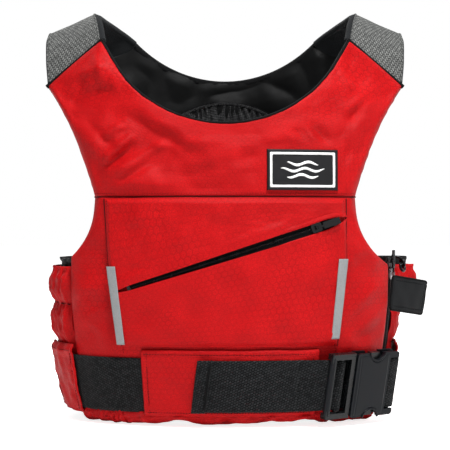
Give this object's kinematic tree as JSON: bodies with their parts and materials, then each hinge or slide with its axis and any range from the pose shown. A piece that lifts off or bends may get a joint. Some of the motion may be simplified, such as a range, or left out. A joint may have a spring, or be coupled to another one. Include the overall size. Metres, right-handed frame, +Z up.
{
  "type": "paddling life jacket",
  "caption": "Pull-over paddling life jacket with foam front and back blocks, padded shoulder straps, a zipped chest pocket, a side entry zip and a waist belt with a side-release buckle.",
  "frame": {"origin": "middle of the torso opening at the level of the hem's underside, on the floor that the jacket stands on", "axes": "+Z up along the wearer's body; the chest faces -Y and the back +Y; +X is to the right as seen from the front, the wearer's left"},
  "size_m": [0.3872, 0.2562, 0.4116],
  "materials": {
    "red_cloth": "ripstop nylon, slight sheen",
    "foam": "closed-cell foam sheet, matt",
    "black_lining": "plain woven nylon",
    "hem_cloth": "gathered ripstop nylon",
    "black_tape": "woven binding tape",
    "black_mesh": "open knitted mesh",
    "black_cloth": "coated nylon",
    "grey_webbing": "coarse woven webbing with light flecks",
    "pad_cloth": "brushed neoprene",
    "black_webbing": "twill webbing",
    "reflective": "retroreflective tape",
    "black_plastic": "moulded acetal, fine texture",
    "black_rubber": "soft moulded rubber",
    "white_rubber": "soft moulded rubber",
    "dark_metal": "black enamel",
    "bright_metal": "nickel plated"
  },
  "bodies": {
    "jacket": {"front_cover": "red_cloth", "front_foam_outer": "foam", "front_foam_inner": "foam", "front_lining": "black_lining", "front_yoke_cover": "red_cloth", "front_yoke_foam": "foam", "front_yoke_lining": "black_lining", "front_hem": "hem_cloth", "front_neck_binding": "black_tape", "back_cover": "red_cloth", "back_foam_outer": "foam", "back_foam_inner": "foam", "back_lining": "black_lining", "back_yoke_cover": "red_cloth", "back_yoke_foam": "foam", "back_yoke_lining": "black_lining", "back_hem": "hem_cloth", "back_neck_binding": "black_tape", "back_mesh_pocket": "black_mesh", "side_panel_left": "red_cloth", "side_panel_right": "red_cloth", "side_lining_left": "black_lining", "side_lining_right": "black_lining", "shoulder_webbing_left": "grey_webbing", "shoulder_webbing_right": "grey_webbing", "shoulder_pad_left": "pad_cloth", "shoulder_pad_right": "pad_cloth", "pocket_upper_panel": "red_cloth", "pocket_lower_panel": "red_cloth", "pocket_zip_tapes": "black_tape", "pocket_zip_coil": "black_plastic", "pocket_zip_stops": "black_plastic", "side_zip_tapes": "black_tape", "side_zip_coil": "black_plastic", "side_zip_stops": "black_plastic", "reflective_strip_left": "reflective", "reflective_strip_right": "reflective", "rubber_patch": "black_rubber", "patch_mark": "white_rubber", "front_belt_tunnel": "red_cloth", "back_belt_tunnel": "red_cloth", "belt_loop_left": "red_cloth", "belt_loop_right": "red_cloth", "waist_belt": "black_webbing", "strap_tail": "black_webbing", "adjuster_strap": "black_webbing", "buckle_anchor_loop": "black_webbing", "buckle_anchor_strap": "black_webbing", "buckle_female": "black_plastic", "tab_loop_patch": "black_cloth"},
    "pocket_slider": {"pocket_zip_slider": "dark_metal"},
    "pocket_pull": {"pocket_zip_pull": "dark_metal"},
    "side_slider": {"side_zip_slider": "bright_metal"},
    "side_pull": {"side_zip_pull": "dark_metal"},
    "buckle_plug": {"buckle_male": "black_plastic"},
    "prong_top": {"buckle_prong_upper": "black_plastic"},
    "prong_bottom": {"buckle_prong_lower": "black_plastic"},
    "guard_tab": {"zip_guard_tab": "black_cloth", "tab_hook_patch": "black_cloth"}
  },
  "joints": [
    {"name": "pocket_zip_run", "type": "hinge", "parent": "jacket", "child": "pocket_slider", "pos_m": [0, 0.20667, 0.16313], "axis": [-0.309, 0, 0.9511], "range_deg": [-31, 0]},
    {"name": "pocket_pull_flip", "type": "hinge", "parent": "pocket_slider", "child": "pocket_pull", "pos_m": [0.08781, -0.11948, 0.19167], "axis": [-0.309, 0, 0.9511], "range_deg": [-165, 0]},
    {"name": "side_zip_run", "type": "hinge", "parent": "jacket", "child": "side_slider", "pos_m": [-0.33143, 0.15167, 0.15], "axis": [-0.3584, -0.9336, 0], "range_deg": [-11.9, 0]},
    {"name": "side_pull_flip", "type": "hinge", "parent": "side_slider", "child": "side_pull", "pos_m": [0.16877, -0.04033, 0.14501], "axis": [0.3584, 0.9336, 0], "range_deg": [0, 80]},
    {"name": "buckle_release", "type": "slide", "parent": "jacket", "child": "buckle_plug", "axis": [-0.7902, -0.6129, 0], "range_m": [0, 0.034], "deforming": ["adjuster_strap"]},
    {"name": "prong_top_squeeze", "type": "hinge", "parent": "buckle_plug", "child": "prong_top", "pos_m": [0.12093, -0.10152, 0.06155], "axis": [-0.6004, 0.7741, 0.2007], "range_deg": [0, 8], "stiffness_Nm_per_rad": 0.15},
    {"name": "prong_bottom_squeeze", "type": "hinge", "parent": "buckle_plug", "child": "prong_bottom", "pos_m": [0.11552, -0.09454, 0.01845], "axis": [0.6004, -0.7741, -0.2007], "range_deg": [0, 8], "stiffness_Nm_per_rad": 0.15},
    {"name": "guard_tab_swing", "type": "hinge", "parent": "jacket", "child": "guard_tab", "pos_m": [0.164, -0.0565, 0.127], "axis": [0.105, 0.0913, 0.9903], "range_deg": [-95, 19]}
  ]
}
